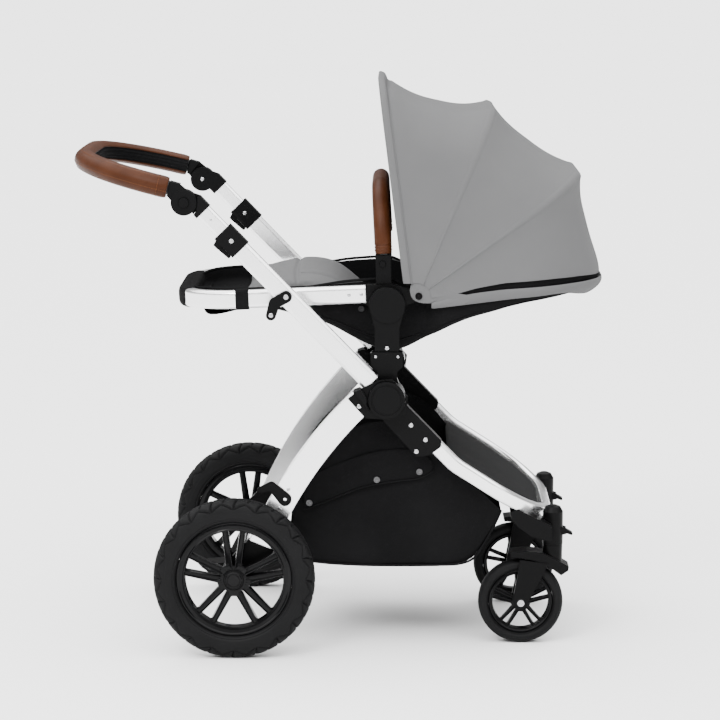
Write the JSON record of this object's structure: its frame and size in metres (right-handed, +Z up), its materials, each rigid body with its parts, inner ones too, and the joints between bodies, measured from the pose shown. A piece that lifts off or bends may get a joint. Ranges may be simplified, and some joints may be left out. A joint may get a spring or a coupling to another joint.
{
  "type": "baby stroller",
  "caption": "Pushchair with a telescoping tilting handlebar, reclining lift-off seat, folding fabric canopy, storage basket, large rear wheels and swivelling front casters.",
  "frame": {"origin": "on the floor, in the middle of the stroller's footprint", "axes": "+X towards the front casters, +Z up, +Y towards the left-hand side"},
  "size_m": [0.9638, 0.594, 1.0279],
  "materials": {
    "frame_metal": "gloss white-silver coat",
    "black_plastic": "fine grain",
    "rim_plastic": "satin",
    "tyre_rubber": "matte tread",
    "black_fabric": "fine woven",
    "grey_fabric": "fine woven",
    "tan_leather": "smooth, stitched",
    "dark_tube": "dark coat",
    "bow_strip": "smooth",
    "bright_steel": "plated"
  },
  "bodies": {
    "chassis": {"front_leg_frame": "frame_metal", "footwell_panel": "black_fabric", "hinge_castings": "black_plastic", "pivot_bolts": "bright_steel", "seat_adaptors": "black_plastic", "caster_brackets": "black_plastic", "swivel_housings": "black_plastic", "chassis_screws": "bright_steel", "basket_bag": "black_fabric"},
    "rear_frame": {"rear_legs": "frame_metal", "rear_wings": "black_plastic", "rear_axle": "bright_steel", "axle_housings": "black_plastic"},
    "hook": {"transport_hook": "black_plastic"},
    "brake": {"brake_pedal": "black_plastic"},
    "handle": {"lower_handle_tubes": "frame_metal", "handle_castings": "black_plastic", "tube_clamps": "black_plastic", "handle_screws": "bright_steel"},
    "handle_slider": {"upper_handle_tubes": "frame_metal", "tilt_housings": "black_plastic"},
    "handlebar": {"handlebar_tube": "dark_tube", "handle_grip": "tan_leather", "handlebar_knuckles": "black_plastic"},
    "seat_mount": {"seat_arms": "black_plastic"},
    "seat": {"seat_hubs": "black_plastic", "seat_rail": "frame_metal", "seat_shell": "black_fabric", "seat_cushion": "grey_fabric", "bumper_sockets": "black_plastic"},
    "bumper": {"bumper_bar": "dark_tube", "bumper_cover": "tan_leather"},
    "bow_rear": {"canopy_bow_rear": "bow_strip", "canopy_panel_rear": "grey_fabric"},
    "bow_middle": {"canopy_bow_middle": "bow_strip", "canopy_panel_middle": "grey_fabric"},
    "bow_front": {"canopy_bow_front": "bow_strip", "canopy_panel_front": "grey_fabric"},
    "rear_wheel_right": {"rear_tyre_right": "tyre_rubber", "rear_rim_right": "rim_plastic"},
    "caster_right": {"caster_fork_right": "black_plastic", "front_axle_right": "bright_steel"},
    "front_wheel_right": {"front_tyre_right": "tyre_rubber", "front_rim_right": "rim_plastic"},
    "lock_right": {"swivel_lock_right": "black_plastic"},
    "lever_right": {"clamp_lever_right": "black_plastic"},
    "latch_right": {"fold_latch_right": "black_plastic"},
    "tilt_press_right": {"tilt_button_right": "black_plastic"},
    "bumper_press_right": {"bumper_button_right": "black_plastic"},
    "rear_wheel_left": {"rear_tyre_left": "tyre_rubber", "rear_rim_left": "rim_plastic"},
    "caster_left": {"caster_fork_left": "black_plastic", "front_axle_left": "bright_steel"},
    "front_wheel_left": {"front_tyre_left": "tyre_rubber", "front_rim_left": "rim_plastic"},
    "lock_left": {"swivel_lock_left": "black_plastic"},
    "lever_left": {"clamp_lever_left": "black_plastic"},
    "latch_left": {"fold_latch_left": "black_plastic"},
    "tilt_press_left": {"tilt_button_left": "black_plastic"},
    "bumper_press_left": {"bumper_button_left": "black_plastic"}
  },
  "joints": [
    {"name": "handle_fold", "type": "hinge", "parent": "chassis", "child": "handle", "pos_m": [0.0915, 0, 0.4645], "axis": [0, 1, 0], "range_deg": [0, 155]},
    {"name": "rear_leg_fold", "type": "hinge", "parent": "chassis", "child": "rear_frame", "pos_m": [0.0915, 0, 0.4645], "axis": [0, 1, 0], "range_deg": [-55, 0]},
    {"name": "handle_extend", "type": "slide", "parent": "handle", "child": "handle_slider", "axis": [-0.6959, 0, 0.7181], "range_m": [-0.04, 0.06]},
    {"name": "handle_tilt", "type": "hinge", "parent": "handle_slider", "child": "handlebar", "pos_m": [-0.26718, 0, 0.81595], "axis": [0, 1, 0], "range_deg": [-50, 35]},
    {"name": "seat_lift", "type": "slide", "parent": "chassis", "child": "seat_mount", "axis": [0, 0, 1], "range_m": [0, 0.1]},
    {"name": "seat_recline", "type": "hinge", "parent": "seat_mount", "child": "seat", "pos_m": [0.092, 0, 0.6305], "axis": [0, 1, 0], "range_deg": [-35, 0]},
    {"name": "canopy_rear", "type": "hinge", "parent": "seat", "child": "bow_rear", "pos_m": [0.1485, 0, 0.646], "axis": [0, 1, 0], "range_deg": [0, 26], "deforming": ["canopy_panel_rear"]},
    {"name": "canopy_middle", "type": "hinge", "parent": "bow_rear", "child": "bow_middle", "pos_m": [0.1485, 0, 0.646], "axis": [0, 1, 0], "range_deg": [0, 26], "deforming": ["canopy_panel_middle"]},
    {"name": "canopy_front", "type": "hinge", "parent": "bow_middle", "child": "bow_front", "pos_m": [0.1485, 0, 0.646], "axis": [0, 1, 0], "range_deg": [0, 26], "deforming": ["canopy_panel_front"]},
    {"name": "bumper_lift", "type": "slide", "parent": "seat", "child": "bumper", "axis": [-0.0576, 0, 0.9983], "range_m": [0, 0.06]},
    {"name": "rear_spin_right", "type": "hinge", "parent": "rear_frame", "child": "rear_wheel_right", "pos_m": [-0.1807, -0.275, 0.145], "axis": [0, 1, 0], "continuous": true},
    {"name": "swivel_right", "type": "hinge", "parent": "chassis", "child": "caster_right", "pos_m": [0.3948, -0.157, 0.184], "axis": [0, 0, 1], "continuous": true},
    {"name": "front_spin_right", "type": "hinge", "parent": "caster_right", "child": "front_wheel_right", "pos_m": [0.3366, -0.157, 0.0775], "axis": [0, 1, 0], "continuous": true},
    {"name": "swivel_lock_right", "type": "hinge", "parent": "chassis", "child": "lock_right", "pos_m": [0.4175, -0.157, 0.2083], "axis": [0, 1, 0], "range_deg": [0, 30]},
    {"name": "clamp_open_right", "type": "hinge", "parent": "handle", "child": "lever_right", "pos_m": [-0.20919, -0.237, 0.73987], "axis": [0, 1, 0], "range_deg": [0, 80]},
    {"name": "latch_pull_right", "type": "hinge", "parent": "handle", "child": "latch_right", "pos_m": [-0.087, -0.25, 0.649], "axis": [0, 1, 0], "range_deg": [0, 35]},
    {"name": "tilt_press_right", "type": "slide", "parent": "handlebar", "child": "tilt_press_right", "axis": [0, 1, 0], "range_m": [0, 0.003], "stiffness_N_per_m": 600},
    {"name": "bumper_press_right", "type": "slide", "parent": "seat", "child": "bumper_press_right", "axis": [0, 1, 0], "range_m": [0, 0.002], "stiffness_N_per_m": 400},
    {"name": "rear_spin_left", "type": "hinge", "parent": "rear_frame", "child": "rear_wheel_left", "pos_m": [-0.1807, 0.275, 0.145], "axis": [0, 1, 0], "continuous": true},
    {"name": "swivel_left", "type": "hinge", "parent": "chassis", "child": "caster_left", "pos_m": [0.3948, 0.157, 0.184], "axis": [0, 0, 1], "continuous": true},
    {"name": "front_spin_left", "type": "hinge", "parent": "caster_left", "child": "front_wheel_left", "pos_m": [0.3366, 0.157, 0.0775], "axis": [0, 1, 0], "continuous": true},
    {"name": "swivel_lock_left", "type": "hinge", "parent": "chassis", "child": "lock_left", "pos_m": [0.4175, 0.157, 0.2083], "axis": [0, 1, 0], "range_deg": [0, 30]},
    {"name": "clamp_open_left", "type": "hinge", "parent": "handle", "child": "lever_left", "pos_m": [-0.20919, 0.237, 0.73987], "axis": [0, 1, 0], "range_deg": [0, 80]},
    {"name": "latch_pull_left", "type": "hinge", "parent": "handle", "child": "latch_left", "pos_m": [-0.087, 0.25, 0.649], "axis": [0, 1, 0], "range_deg": [0, 35]},
    {"name": "tilt_press_left", "type": "slide", "parent": "handlebar", "child": "tilt_press_left", "axis": [0, -1, 0], "range_m": [0, 0.003], "stiffness_N_per_m": 600},
    {"name": "bumper_press_left", "type": "slide", "parent": "seat", "child": "bumper_press_left", "axis": [0, -1, 0], "range_m": [0, 0.002], "stiffness_N_per_m": 400},
    {"name": "brake_press", "type": "hinge", "parent": "rear_frame", "child": "brake", "pos_m": [-0.1807, -0.18, 0.145], "axis": [0, 1, 0], "range_deg": [-20, 0]},
    {"name": "hook_turn", "type": "hinge", "parent": "rear_frame", "child": "hook", "pos_m": [-0.0905, -0.2493, 0.283], "axis": [0, 1, 0], "range_deg": [0, 90]}
  ],
  "couplings": [
    {"joint": "rear_leg_fold", "follows": "handle_fold", "ratio": -0.3548},
    {"joint": "canopy_middle", "follows": "canopy_rear", "ratio": 1},
    {"joint": "canopy_front", "follows": "canopy_rear", "ratio": 1}
  ]
}
